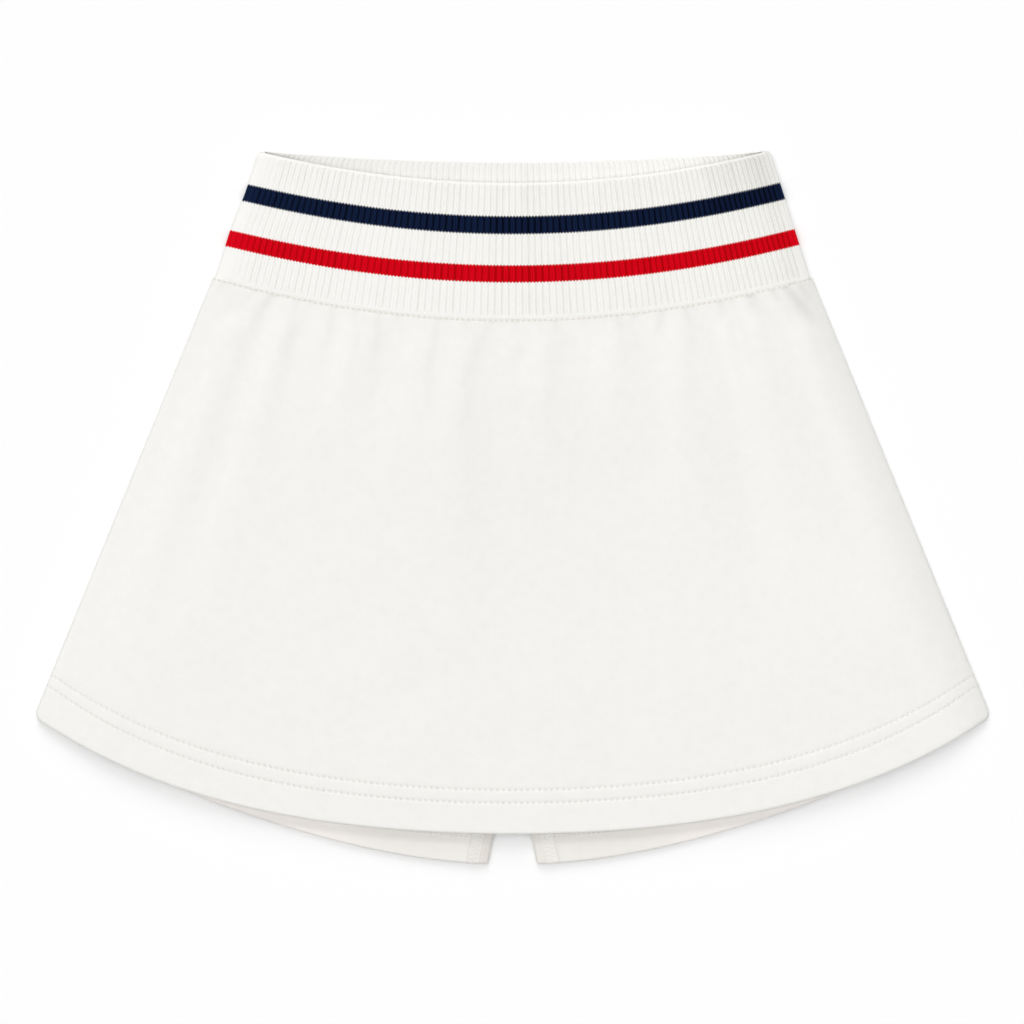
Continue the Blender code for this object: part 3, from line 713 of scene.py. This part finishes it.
def make_waistband():
    """A doubled rib-knit tube. Its walls are smooth here, and the rib tree presses the grooves."""
    chance = np.random.default_rng(11)
    count = round(rib_number(1) - rib_number(-1)) + 9
    strength = chance.uniform(0.72, 1.2, count)
    knots = np.arange(0, count + 7, 7)
    strength *= np.interp(np.arange(count), knots, chance.uniform(0.8, 1.15, len(knots)))

    def share(seen, top_fade):
        """How strong the ribs are."""
        _, _, inset, across, down, _ = seen
        place = down * BAND_LENGTH
        left_end = smooth(inset, 0.3 + 6 * down, 3.5 + 17 * down)
        near_top = (1 - smooth(inset, 8, 20)) * (1 - smooth(down, 0.2, 0.3))
        left_end *= 1 - 0.7 * near_top
        right_end = smooth(inset, 0.3 + 1.5 * down, 2.5 + 5 * down)
        fade = np.where(across > 0, right_end, left_end)
        fade *= smooth(BAND_LENGTH - place, PLAIN_STRIP, PLAIN_STRIP + 0.9)
        fade *= smooth(place, 0.3, top_fade)
        number = np.round(rib_number(across) - rib_number(-1) - 0.5).astype(int) + 3
        loose = 1 + 0.4 * (1 - smooth(down, 0.12, 0.32)) + 0.15 * smooth(down, 0.7, 0.9)
        drawn_in = 0.5 * smooth(across, 0.45, 0.95) * (1 - smooth(down, 0.3, 0.6))
        fade *= 1 + 0.1 * across - 0.2 * smooth(-across, 0.2, 0.6)
        return fade * strength[number] * (loose + drawn_in)

    def tube(front, back, front_z, back_z, ribs, inside):
        """One skin all round, from its front wall and its back wall."""
        x, y, _, across, down, _ = (np.hstack(pair) for pair in zip(front, back))
        knit = rib_number(across), down * BAND_LENGTH, ribs
        return cloth.skin(x, y, np.hstack([front_z, back_z]), *knit, inside, ring=True)

    cloth = Cloth()
    top = [0, 0.12, 0.35, 0.7, 1.1, 1.6, 2.2, 2.9, 3.7]
    low = BAND_LENGTH - np.array([4.2, 3.4, 2.6, 1.8, 1.2, 0.8, 0.5, 0.25, 0.1, 0])
    downs = np.concatenate([top, np.linspace(6, BAND_LENGTH - 6, 17), low]) / BAND_LENGTH
    offsets = [-0.5, -0.42, -0.34, -0.26, -0.13, -0.06, 0, 0.06, 0.13, 0.26, 0.34, 0.42]
    sides = [0, 0.0015, 0.004, 0.008, 0.013, 0.019, 0.026]
    front = plan(BAND_FRONT, downs, rib_columns(offsets, sides))
    place = front.down * BAND_LENGTH
    right = 0.35 * rounded(front.inset, 2) + 0.65 * bowed(front.inset, RIGHT_ROLL)
    rise = np.where(front.across > 0, right, rounded(front.inset, BAND_SIDE_ROLL))
    front_z = BAND_MIDDLE + (BAND_MIDDLE + 0.26) * rise
    front_z += 0.1 * drift(front.x, front.y, 34, 3) * smooth(front.inset, 2, 12)
    front_z = BAND_MIDDLE + (front_z - BAND_MIDDLE) * (1 - 0.58 * edge(place, 2.2))
    front_z -= 0.36 * (1 - bowed(BAND_LENGTH - place, 3.2)) * smooth(front.inset, 0.5, 8)
    places = rib_columns([-0.5, -0.4, 0, 0.4], sides)
    back = plan(BAND_BACK, downs, places[-2:0:-1])
    place = back.down * BAND_LENGTH
    back_z = BAND_MIDDLE * (1 - rounded(back.inset, BAND_UNDER_ROLL) * (1 - 0.58 * edge(place, 2.2)))
    back_z += 0.7 * edge(BAND_LENGTH - place, 1.5) * smooth(back.inset, 0.5, 8)
    ribs = np.hstack([share(front, 3.2), share(back, 3.2) * 0.7])
    outer = tube(front, back, front_z, back_z, ribs, 0)

    downs = [0, 0.15, 0.4, 0.8, 1.3, 2, 2.8, 3.6, *np.arange(4.5, 13), 14, 16, 18, 21, 26, 40, 60]
    downs = np.append(downs, BAND_LENGTH) / BAND_LENGTH
    sides = [0, 0.006, 0.014, 0.024]
    near = plan(BAND_FRONT, downs, rib_columns([-0.5, 0], sides), 1.2)
    near_z = BAND_CLOTH + GAP + edge(near.down * BAND_LENGTH, 3)
    places = rib_columns([-0.5, -0.42, -0.3, 0, 0.3, 0.42], sides)
    far = plan(BAND_BACK, downs, places[::-1], 1.2)
    from_rim = row_y(BAND_BACK[0], far.x) - far.y
    opening = row_y(BAND_BACK[0], far.x) - row_y(BAND_FRONT[0], far.x)
    dip = (0.7 + 0.6 * far.across**2) * smooth(from_rim, 0, opening + 0.5)
    far_z = BAND_CLOTH - dip * (1 - smooth(from_rim - opening, 3, 9))
    far_z -= 0.4 * edge(from_rim, 1.2)
    ribs = np.hstack([share(near, 1.2) * 0.55, share(far, 0.8) * 0.75])
    inner = tube(near, far, near_z, far_z, ribs, 1)
    cloth.close(outer, inner)
    sizes = {"Depth": RIB_DEPTH * MM, "Groove width": 0.24, "Middle line": 0.42, "Material": RIB_KNIT}
    return made_by(rib_tree(), cloth.piece("waistband_knit", RIB_KNIT), sizes)


# ---- Skirt ----


def fold_relief(seen, side):
    """Depth of the long folds and main gathers. The other side, -1, has them mirrored."""
    down, total = seen.down, 0
    for fold in FOLDS:
        widened = fold.width * (1 + 1.6 * down)
        if fold.start == 0 and fold.depth > 0:
            widened = widened * (0.45 + 0.55 * smooth(down, 0, 0.13))
        off = (side * seen.across - fold.across - fold.drift * down) * seen.half_width
        life = 1 - smooth(down, fold.start + 0.35 * (fold.end - fold.start), fold.end)
        life = life * smooth(down, fold.start - 0.02, fold.start + 0.03 + fold.start * 0.15)
        total += fold.depth * life * ridge(off, widened)
    return FULLEST * np.tanh(total * FOLD_DEPTH / FULLEST)


def puckers(seen, side):
    """Depth of the small gathers at the waist seam."""
    down, total = seen.down, 0
    for row in PUCKERS:
        middle = row.across + row.lean * np.minimum(down / row.reach, 1)
        line = ridge((side * seen.across - middle) * seen.half_width, row.width * (1 + 8 * down))
        total += row.depth * (1 - smooth(down, 0.3 * row.reach, row.reach)) * line
    return total


def hem_relief(above, along, seed):
    """Two sewn rows press grooves with a soft ridge between, and the cloth puckers a little."""
    middle = above - sum(HEM_ROWS) / 2
    total = 0.1 * ridge(middle, 2.6)
    for row in HEM_ROWS:
        total -= GROOVE_DEPTH * ridge(above - row, np.where(above > row, *GROOVE_WIDTH))
    chance = np.random.default_rng(seed)
    knots = np.linspace(-345, 345, 116)
    uneven = np.interp(along, knots, chance.uniform(-1, 1, 116))
    phase = 2.2 * np.sin(along / 41) + 1.3 * np.sin(along / 23 + 1)
    wave = 0.5 * uneven + 0.5 * np.sin(along * math.tau / 7.3 + phase)
    return total + 0.14 * wave * ridge(middle, 9)


def panel_rows(near_seam):
    """Rows of a skirt panel: close at the seam, at the sewn rows and at the hem."""
    top = np.concatenate([[0, 0.2, 0.45, 0.75, 1.1, 1.6, 2.2, 3, 3.9], near_seam])
    near_row = np.array([-2.2, -1.5, -1, -0.6, -0.3, 0, 0.3, 0.6, 1, 1.5, 2.2])
    hem = [14.2, 11.5, 9, 6.5, 4, 2.4, 1.5, 1, 0.65, 0.4, 0.2, 0.08, 0]
    hem = [np.add.outer(HEM_ROWS, near_row).ravel(), hem, np.linspace(28.6, 58, 9)]
    lower = 1 - np.concatenate(hem) / FROM_HEM
    upper = top / FROM_SEAM
    middle = np.linspace(upper.max() + 0.014, lower.min() - 0.014, 34)
    return np.unique(np.round(np.concatenate([upper, middle, lower]), 6))


def panel_marks(seen):
    """Knit map of a panel: millimetres along the row from its middle, and above the hem."""
    along = row_length(seen.x, seen.y)
    return along - along[:, -1:] / 2, (1 - seen.down) * FROM_HEM


def front_folds(seen):
    """How far the long folds lower the front, and how far the small gathers do."""
    long = fold_relief(seen, 1)
    long = long * (1 - HEM_SETTLING * smooth(seen.down, 0.75, 0.93)) * smooth(seen.inset, 3, 20)
    from_seam = seen.down * FROM_SEAM
    small = puckers(seen, 1) * smooth(seen.inset, 0.8, 6)
    return long * smooth(from_seam, 0, 26), 1.3 * small * smooth(from_seam, 0.8, 2.6)


def front_painted_shade(seen):
    """How much painted shade darkens the front's colour: in its folds and gathers, and where it turns
    away from the light at +X.
    """
    long, small = front_folds(seen)
    painted_right_shade = np.clip(1 - seen.inset / RIGHT_ROLL, 0, 1) ** 1.6
    small = (4.5 + 3.5 * smooth(seen.across, 0, 0.6)) * small
    return long + small + np.where(seen.across > 0, 7 * painted_right_shade, 0)


def seam_bumps(along, from_seam):
    """Each stitch of the waist seam pulls up a small bump of cloth below it."""
    uneven = 0.6 + 0.4 * np.sin(along / 5.3 + 2 * np.sin(along / 31))
    wave = np.cos(along * math.tau / WAIST_PITCH) * uneven
    return 0.15 * wave * ridge(from_seam - 1.9, 1)


def front_face(seen):
    """Outer height of the front panel."""
    x, y, inset, across, down, _ = seen
    rim, roll = over_back(down), np.interp(down, (0, 1), SIDE_ROLL)
    swell = 0.5 * smooth(down, 0, 0.28) + 0.5 * bowed(down, 0.28)
    swell = swell * (1 - HEM_SETTLING * smooth(down, 0.7, 0.93))
    plateau = SEAM_TOP + HEM_LIFT * smooth(down, 0.3, 0.93)
    plateau = plateau + swell * FULLNESS * smooth(inset, 4, 40)
    rise = 0.4 * rounded(inset, SIDE_EDGE) + 0.6 * rounded(inset, roll)
    turned_away = 0.25 * rounded(inset, SIDE_EDGE) + 0.75 * bowed(inset, RIGHT_ROLL)
    rise = np.where(across > 0, turned_away, rise)
    height = rim + (plateau - rim) * rise
    along, above = panel_marks(seen)
    lowered = sum(front_folds(seen))
    lowered = lowered - 0.07 * drift(x, y, 60, 8) * smooth(down, 0.02, 0.2)
    rows = hem_relief(above, along, 21) * smooth(inset, 0.3, 4)
    from_seam = down * FROM_SEAM
    pressed = 0.08 * (1 - bowed(from_seam, 2)) * smooth(inset, 0.5, 7)
    turned = edge(above, 1.6)
    height = height - lowered - pressed - turned + rows + seam_bumps(along, from_seam)
    return np.maximum(height, front_lining(seen) + 0.35)


def front_lining(seen):
    """Inner height of the front panel."""
    rim, roll = over_back(seen.down), np.interp(seen.down, (0, 1), SIDE_ROLL)
    plateau = SEAM_TOP + HEM_LIFT * smooth(seen.down, 0.76, 0.885) - SKIRT_CLOTH
    flat = rim + (plateau - rim) * rounded(seen.inset - SKIRT_CLOTH, roll - SKIRT_CLOTH)
    extra = SKIRT_HEM_EXTRA * smooth(seen.down, *HEM_STEP) * smooth(flat, rim, rim + 2)
    return np.maximum(flat - extra, rim) + 0.6 * edge((1 - seen.down) * FROM_HEM, 0.9)


def back_under(seen):
    """Underside of the back panel. It lies flat, and its sewing and folds rise into it."""
    along, above = panel_marks(seen)
    lifted = 0.3 * np.maximum(fold_relief(seen, -1), 0) + 0.8 * puckers(seen, -1)
    lifted = lifted * smooth(seen.inset, 3, 20)
    rows = np.maximum(-hem_relief(above, along, 33), 0)
    pressed = 0.8 * edge(seen.down * FROM_SEAM, 1.7) * smooth(seen.inset, 0.5, 7)
    side = 0.55 * edge(seen.inset, 1.6)
    turned = 0.75 * edge(above, 1)
    return np.minimum(lifted + rows + pressed + side + turned, 0.95)


def back_upper(seen):
    """Inside of the back panel, with its turned-up hem."""
    height = SKIRT_CLOTH + SKIRT_HEM_EXTRA * smooth(seen.down, *HEM_STEP)
    return height - 0.65 * edge((1 - seen.down) * FROM_HEM, 1) - 0.35 * edge(seen.inset, 1.2)


def make_panel(name, material, levels, *faces):
    """A skirt panel. Its two faces, outer first, are each a height, rows, places across and how
    far the sides are in."""
    cloth = Cloth()
    grids = []
    for face, downs, places, narrower in faces:
        seen = plan(levels, downs, places, narrower)
        # Only the front's colour carries painted shade, from its folds, gathers and right edge.
        tone = front_painted_shade(seen) if face is front_face else 0
        grids.append(cloth.skin(seen.x, seen.y, face(seen), *panel_marks(seen), tone))
    cloth.close(*grids, np.s_[:, 0], np.s_[:, -1])
    return cloth.piece(name, material)


def make_front():
    downs = panel_rows(np.linspace(5, 38, 24))
    outer = (front_face, downs, spread(330, [0, 0.0012, 0.003, 0.006, 0.01]), 0)
    lower = 1 - np.array([20, 12, 6, 3, 1.5, 0.8, 0.4, 0.15, 0]) / FROM_HEM
    downs = [0, 0.1, 0.25, 0.45, 0.65, 0.78, 0.84, *HEM_STEP, *lower]
    inner = (front_lining, downs, spread(60, [0, 0.004, 0.012, 0.03]), 0.5)
    return make_panel("skirt_front_knit", FRONT_JERSEY, FRONT_LEVELS, outer, inner)


def make_back():
    downs = panel_rows(np.linspace(5.5, 38, 14))
    outer = (back_under, downs, spread(200, [0, 0.0015, 0.004, 0.008]), 0)
    lower = 1 - np.array([20, 12, 6, 3, 1.5, 0.9, 0.5, 0.2, 0]) / FROM_HEM
    downs = [0, 0.2, 0.4, 0.6, 0.8, *HEM_STEP, *lower]
    inner = (back_upper, downs, spread(60, [0, 0.002, 0.005, 0.012]), 0)
    return make_panel("skirt_back_knit", BACK_JERSEY, BACK_LEVELS, outer, inner)


def panel_line(levels, down, face, short=ROW_SHORT):
    """Points of a row across a panel, on the given face."""
    reach = 1 - short / at(levels, down).half_width
    seen = plan(levels, [down], np.linspace(-reach, reach, 601))
    return np.stack([seen.x[0], seen.y[0], face(seen)[0]], axis=1)


# ---- Shorts ----


def leg_point(level, along):
    x = level.inner_x + (level.outer_x - level.inner_x) * along
    y = level.inner_y + (level.outer_y - level.inner_y) * np.maximum(along, 0) ** level.power
    return x, y


def leg_hem_y(x):
    hem = LEG_LEVELS[-1]
    return leg_point(hem, (x - hem.inner_x) / (hem.outer_x - hem.inner_x))[1]


def leg_floor(x, y):
    """Underside of a leg: over the back panel, then down past that panel's hem."""
    low, high = np.zeros_like(x), np.ones_like(x)
    for _ in range(22):
        middle = (low + high) / 2
        above = row_y(at(BACK_LEVELS, middle), x) > y
        low, high = np.where(above, middle, low), np.where(above, high, middle)
    below = row_y(BACK_LEVELS[-1], x) - y
    return over_back((low + high) / 2) * (1 - smooth(below, *LEG_DROP))


def leg_height(x, y, level, layer):
    """Height of one of a leg's skins: back outer 0, back inner 1, front inner 2, outer 3."""
    above = y - leg_hem_y(x)
    cloth = SHORTS_CLOTH + LEG_HEM_EXTRA * smooth(LEG_HEM_TURN - above, -1.5, 0.5)
    step = (0, cloth, cloth + GAP, 2 * cloth + GAP)[layer]
    floor = leg_floor(x, y)
    below_crotch = smooth(level.down, CROTCH, CROTCH + 0.03)
    from_outer = rounded(level.outer_x - x, LEG_FOLD_ROUND)
    from_inner = 1 - below_crotch * edge(x - level.inner_x, LEG_FOLD_ROUND)
    middle = cloth + GAP / 2
    if layer in (1, 2):
        lip = 0.35 * edge(above, 0.8)
        return floor + step + (lip if layer == 2 else -lip)
    swell = 0.25 + 0.75 * np.minimum(from_outer, from_inner)
    swell = swell * (0.42 + 0.58 * rounded(above, 1))
    height = floor + middle + (step - middle) * swell
    grooves = 0.28 * sum(ridge(above - row, 0.6) for row in LEG_ROWS)
    if layer == 0:
        return height + grooves * 0.8
    into = x - level.inner_x
    start, end = INSEAM_STRIP
    strip = smooth(into, start - 0.5, start) * (1 - smooth(into, end, end + 0.5))
    dip = 0.22 * sum(ridge(into - seam, 0.5) for seam in INSEAM_SEAMS)
    height = height + 0.05 * drift(x, y, 26, 14) - grooves
    return height + (INSEAM_RELIEF * strip - dip) * below_crotch


def make_leg(name, side):
    """One leg, side 1 at +X and -1 at -X: a flattened tube below the crotch, open above it."""
    upper = np.append(np.linspace(0, 0.7, 8), [CROTCH, 0.785, 0.8, 0.82, 0.84, 0.86])
    above = [33, 30, 27, 25, 23.5, 22.2, 21.3, 20.6, 20, 19.4, 18.8, 18, 17.4, 16.8, 16.2]
    above += [15.6, 15, 14, 12, 10, 8, 6, 4.2, 2.8, 1.8, 1.1, 0.6, 0.3, 0.1, 0]
    downs = np.append(upper, 1 - np.array(above) / LEG_LENGTH)
    strip = [4, 5, 5.2, 5.45, 5.7, 6.2, 6.6, 7, 8, 9.3, 10.6, 11.6, 12, 12.4, 12.9, 13.15, 13.4]
    near = [0, 0.15, 0.4, 0.8, 1.4, 2.4]
    wide = list(np.linspace(18, 160, 34))
    cloth = Cloth()

    def skin_of(layer, insets, fold):
        """Insets from the inner edge, then from the outer fold."""
        level = at(LEG_LEVELS, downs[:, None])
        width = level.outer_x - level.inner_x
        cut = SHORTS_CLOTH if layer in (1, 2) else 0
        near = np.maximum(insets, cut * smooth(level.down, CROTCH - 0.001, CROTCH + 0.03))
        x, y = leg_point(level, np.hstack([near, width - np.maximum(fold, cut)]) / width)
        return x, y, leg_height(x, y, level, layer), x - level.inner_x, y - leg_hem_y(x)

    fold = [2.4, 1.4, 0.8, 0.4, 0.15, 0]
    front = skin_of(3, near + strip + wide, fold)
    back = skin_of(0, near + wide[::2], fold)
    outer = [np.hstack([one, other[:, -2::-1]]) for one, other in zip(front, back)]
    wide = [0, 3, 20, 60, 100, 140]
    pairs = zip(skin_of(2, wide, [0]), skin_of(1, wide, [0]))
    inner = [np.hstack([one, other[:, ::-1]]) for one, other in pairs]
    outer[0], inner[0] = side * outer[0], side * inner[0]
    outer, inner = cloth.skin(*outer), cloth.skin(*inner)
    crotch = int(np.argmin(np.abs(downs - CROTCH)))
    for end in (0, -1):
        cloth.join(outer[: crotch + 1, end], inner[: crotch + 1, end])
    for grid in (outer, inner):
        cloth.join(grid[crotch:, 0], grid[crotch:, -1])
    for row in (crotch, -1):
        corners = (outer[row][0], outer[row][-1], inner[row][-1], inner[row][0])
        cloth.faces.append([int(corner) for corner in corners])
    cloth.close(outer, inner)
    return cloth.piece(name, SHORTS_JERSEY)


def leg_line(side, layer, above):
    """A row along a leg's hem."""
    hem = LEG_LEVELS[-1]
    x = np.linspace(hem.inner_x + 0.8, hem.outer_x - 3, 121)
    y = leg_hem_y(x) + above
    level = at(LEG_LEVELS, 1 - above / LEG_LENGTH)
    return np.stack([side * x, y, leg_height(x, y, level, layer)], axis=1)


def inseam_line(side, into):
    """A line down a leg, this far in from its inner edge."""
    level = at(LEG_LEVELS, np.linspace(0.84, 0.9985, 81))
    x, y = leg_point(level, into / (level.outer_x - level.inner_x))
    return np.stack([side * x, y, leg_height(x, y, level, 3)], axis=1)


# ---- The garment ----

THREAD = thread_material()
SEWING = sewing_tree()
RIB_KNIT = rib_material()

AT_SEAM = 0.7 / FROM_SEAM
FRONT_ROW_SHORT, BACK_ROW_SHORT = 2.5, 4


def sewn_rows(levels, short):
    """Each sewn row's height above the hem, its stitch pitch, half its length and hole size."""
    rows = [(1 - row / FROM_HEM, HEM_PITCH, ROW_SHORT, 1) for row in HEM_ROWS]
    rows.append((AT_SEAM, WAIST_PITCH, short, WAIST_HOLE))
    return [
        (FROM_HEM * (1 - down), *even_pitch(levels, down, pitch, cut), size)
        for down, pitch, cut, size in rows
    ]


front_rows = sewn_rows(FRONT_LEVELS, FRONT_ROW_SHORT)
back_rows = sewn_rows(BACK_LEVELS, BACK_ROW_SHORT)
FRONT_JERSEY = jersey_material("front_jersey", SKIRT_YARN, front_rows, 0.72, 0.56)
BACK_JERSEY = jersey_material("back_jersey", SKIRT_YARN, back_rows, 0.72, 0.56)
leg_rows = [(LEG_ROWS[0], LEG_PITCH, 0, 1)]
SHORTS_JERSEY = jersey_material("shorts_jersey", SHORTS_YARN, leg_rows, 0.55, 0.45, INSEAM_STRIP)

waistband = make_waistband()
skirt_front = make_front()
skirt_back = make_back()
leg_left = make_leg("shorts_left_knit", 1)
leg_right = make_leg("shorts_right_knit", -1)

seam_front = panel_line(FRONT_LEVELS, AT_SEAM, front_face, FRONT_ROW_SHORT)
seam_back = panel_line(BACK_LEVELS, AT_SEAM, back_under, BACK_ROW_SHORT)
seam_rows = [(seam_front, 1, 0.036), (seam_back, -1, 0.036)]
waist_thread = sewn("waist_thread", seam_rows, WAIST_PITCH, 1.7, 0.2, 0.1)


def hem_thread(name, levels, face, facing):
    rows = [(panel_line(levels, 1 - row / FROM_HEM, face), facing, 0.084) for row in HEM_ROWS]
    return merged([sewn(name, [row], HEM_PITCH, 2.1, 0.17, 0.12) for row in rows])


front_thread = hem_thread("front_hem_thread", FRONT_LEVELS, front_face, 1)
back_thread = hem_thread("back_hem_thread", BACK_LEVELS, back_under, -1)


def leg_thread(name, side):
    faces = ((3, 1), (0, -1))
    rows = [(leg_line(side, layer, row), up, 0.072) for layer, up in faces for row in LEG_ROWS]
    hem = sewn(name, rows, LEG_PITCH, 2.1, 0.15, 0.1)
    lines = [(inseam_line(side, seam), 1, 0.084) for seam in INSEAM_SEAMS]
    straight = sewn(name, lines, 2.3, 1.9, 0.14, 0.12)
    cover = [(inseam_line(side, sum(INSEAM_SEAMS) / 2), 1, 0.12)]
    return merged([hem, straight, sewn(name, cover, 1.25, 5.2, 0.12, 0.1, slant=1.22)])


left_thread = leg_thread("shorts_left_thread", 1)
right_thread = leg_thread("shorts_right_thread", -1)

# Each piece with its thread, the node that it stands for, its slot, its flat size and area, and what
# it rests on.
PIECES = (
    (waistband, waist_thread, "waistband", "rib_knit", (0.698, 0.092), 0.0548, [skirt_back]),
    (skirt_front, front_thread, "skirt_front", "skirt_knit", (0.561, 0.326), 0.139,
        [leg_left, leg_right, skirt_back]),
    (skirt_back, back_thread, "skirt_back", "skirt_knit", (0.561, 0.322), 0.137, []),
    (leg_left, left_thread, "shorts_leg_left", "shorts_knit", (0.415, 0.341), 0.117, [skirt_back]),
    (leg_right, right_thread, "shorts_leg_right", "shorts_knit", (0.415, 0.341), 0.117, [skirt_back]),
)
for piece, thread, node, slot, flat, area, rests_on in PIECES:
    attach(piece, "root")
    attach(thread, "root")
    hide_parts(node)

# ---- Floor, light and camera ----


def make_floor():
    data = bpy.data.meshes.new("floor")
    corners = [(x, y, -0.4 * MM) for x, y in ((-4, -4), (4, -4), (4, 4), (-4, 4))]
    data.from_pydata(corners, [], [(0, 1, 2, 3)])
    white = (0.955, 0.955, 0.955, 1)
    material, _ = dressed("pale_floor", Base_Color=white, Roughness=1, Specular_IOR_Level=0)
    data.materials.append(material)
    shown("floor", data)


SKY_LEAST = 0.12
SKY_FROM_ABOVE = 1.871
SKY_FROM_LEFT = 0.4
BACKDROP = 0.93
LAMP_STRENGTH = 1
LAMP_HEIGHT = math.radians(32)
LAMP_TURN = math.radians(3)


def make_light():
    """A soft box overhead that is stronger to the left, and a soft lamp beyond the waist."""
    world = bpy.data.worlds.new("studio")
    world.use_nodes = True
    bench = Bench(world.node_tree)
    x, _, z = bench.numbers(bench.node("ShaderNodeTexCoord")["Generated"])
    above = bench.sum("MAXIMUM", z, 0)
    light = above * above * above * (1 - x * SKY_FROM_LEFT) * SKY_FROM_ABOVE + SKY_LEAST
    seen = bench.number("ShaderNodeLightPath")
    light = light + seen * (BACKDROP - light)
    sky = world.node_tree.nodes["Background"].inputs
    bench.tree.links.new(light.socket, sky["Strength"])
    sky["Color"].default_value = (1, 1, 1, 1)
    scene.world = world
    lamp = bpy.data.lights.new("soft_lamp", "SUN")
    lamp.energy = LAMP_STRENGTH
    lamp.angle = math.radians(34)
    shown("soft_lamp", lamp).rotation_euler = (LAMP_HEIGHT - math.pi / 2, 0, LAMP_TURN)


VIEW_WIDTH = 600
VIEW_CENTRE = (-0.3, -2.8)
VIEW_LEVEL = 4


def make_camera():
    data = bpy.data.cameras.new("overhead")
    data.lens = 150
    data.sensor_width = 36
    distance = VIEW_WIDTH * data.lens / data.sensor_width + VIEW_LEVEL
    data.clip_start, data.clip_end = 0.05, 50
    camera = shown("overhead", data)
    camera.location = (VIEW_CENTRE[0] * MM, VIEW_CENTRE[1] * MM, distance * MM)
    scene.camera = camera
    scene.view_settings.view_transform = "Standard"
    scene.view_settings.look = "None"


make_floor()
make_light()
make_camera()

bpy.context.view_layer.update()
